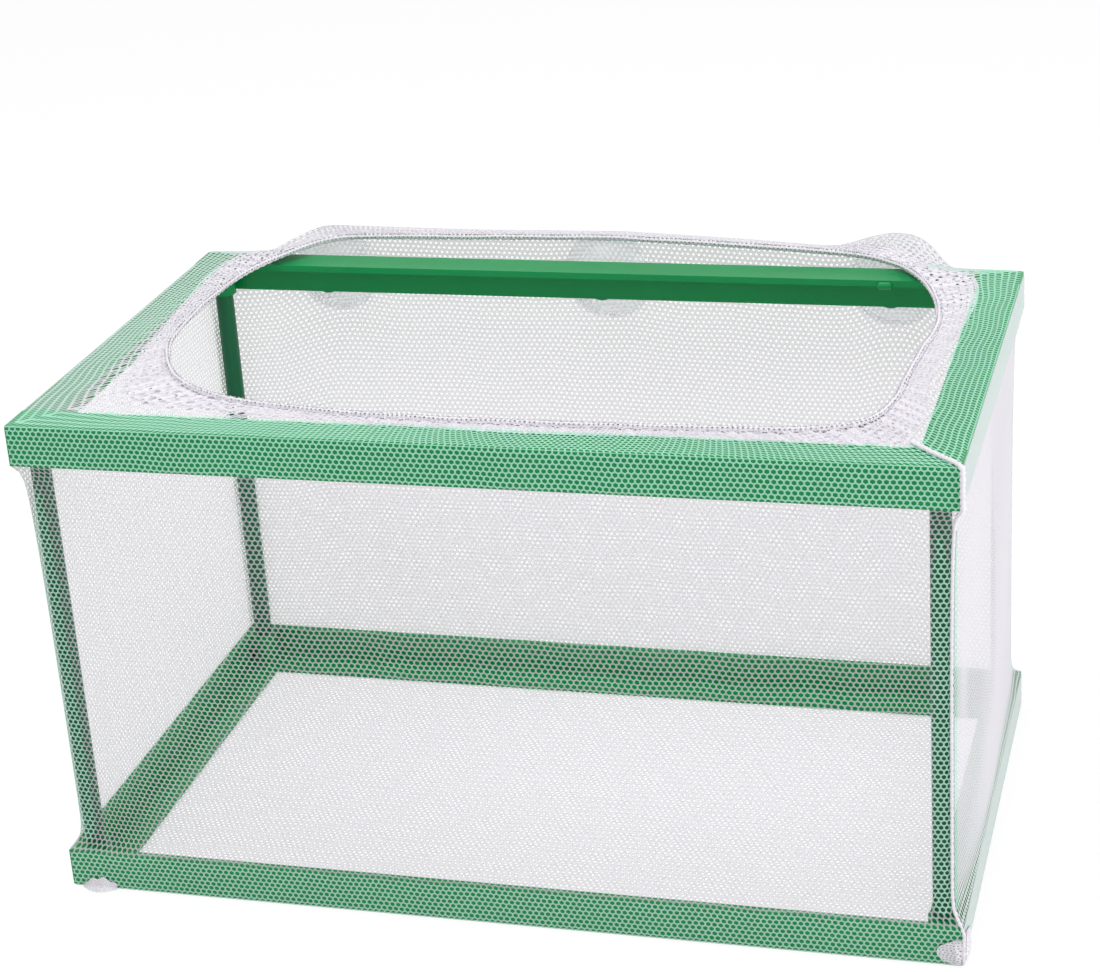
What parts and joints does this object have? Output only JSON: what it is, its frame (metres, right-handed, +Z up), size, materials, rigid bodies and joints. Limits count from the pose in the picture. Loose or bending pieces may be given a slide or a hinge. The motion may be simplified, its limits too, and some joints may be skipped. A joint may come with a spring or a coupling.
{
  "type": "fish breeding box",
  "caption": "Rectangular open-topped box of fine white net on a green clip-together plastic frame, with clear suction cups behind the rear top rail.",
  "frame": {"origin": "middle of the net's bottom face, on which the box stands", "axes": "+X to the right along the long rails, +Y towards the suction cups, +Z up"},
  "size_m": [0.2678, 0.1668, 0.1559],
  "materials": {
    "rail_plastic": "injection-moulded green plastic strip, smooth, a soft sheen",
    "post_plastic": "extruded darker green plastic rod, a soft sheen",
    "cup_vinyl": "clear soft vinyl",
    "net": "fine white knitted net with six-sided holes",
    "hem": "white net rolled and stitched",
    "elastic": "white covered elastic"
  },
  "bodies": {
    "box": {"top_rail_front": "rail_plastic", "top_rail_back": "rail_plastic", "top_rail_left": "rail_plastic", "top_rail_right": "rail_plastic", "bottom_rail_front": "rail_plastic", "bottom_rail_back": "rail_plastic", "bottom_rail_left": "rail_plastic", "bottom_rail_right": "rail_plastic", "post_front_left": "post_plastic", "post_front_right": "post_plastic", "post_back_left": "post_plastic", "post_back_right": "post_plastic", "net_front": "net", "net_left": "net", "net_right": "net", "net_bottom": "net", "net_back": "net", "net_cup_band": "net", "net_rim_front": "net", "net_rim_left": "net", "net_rim_right": "net", "net_rim_back": "net", "mouth_hem": "hem", "mouth_elastic": "elastic", "corner_seam": "hem"},
    "cup_left": {"suction_cup_left": "cup_vinyl"},
    "cup_middle": {"suction_cup_middle": "cup_vinyl"},
    "cup_right": {"suction_cup_right": "cup_vinyl"}
  },
  "joints": [
    {"name": "cup_left_turn", "type": "hinge", "parent": "box", "child": "cup_left", "pos_m": [-0.092, 0.077, 0.1404], "axis": [0, 1, 0], "continuous": true},
    {"name": "cup_middle_turn", "type": "hinge", "parent": "box", "child": "cup_middle", "pos_m": [0, 0.077, 0.1404], "axis": [0, 1, 0], "continuous": true},
    {"name": "cup_right_turn", "type": "hinge", "parent": "box", "child": "cup_right", "pos_m": [0.092, 0.077, 0.1404], "axis": [0, 1, 0], "continuous": true}
  ]
}
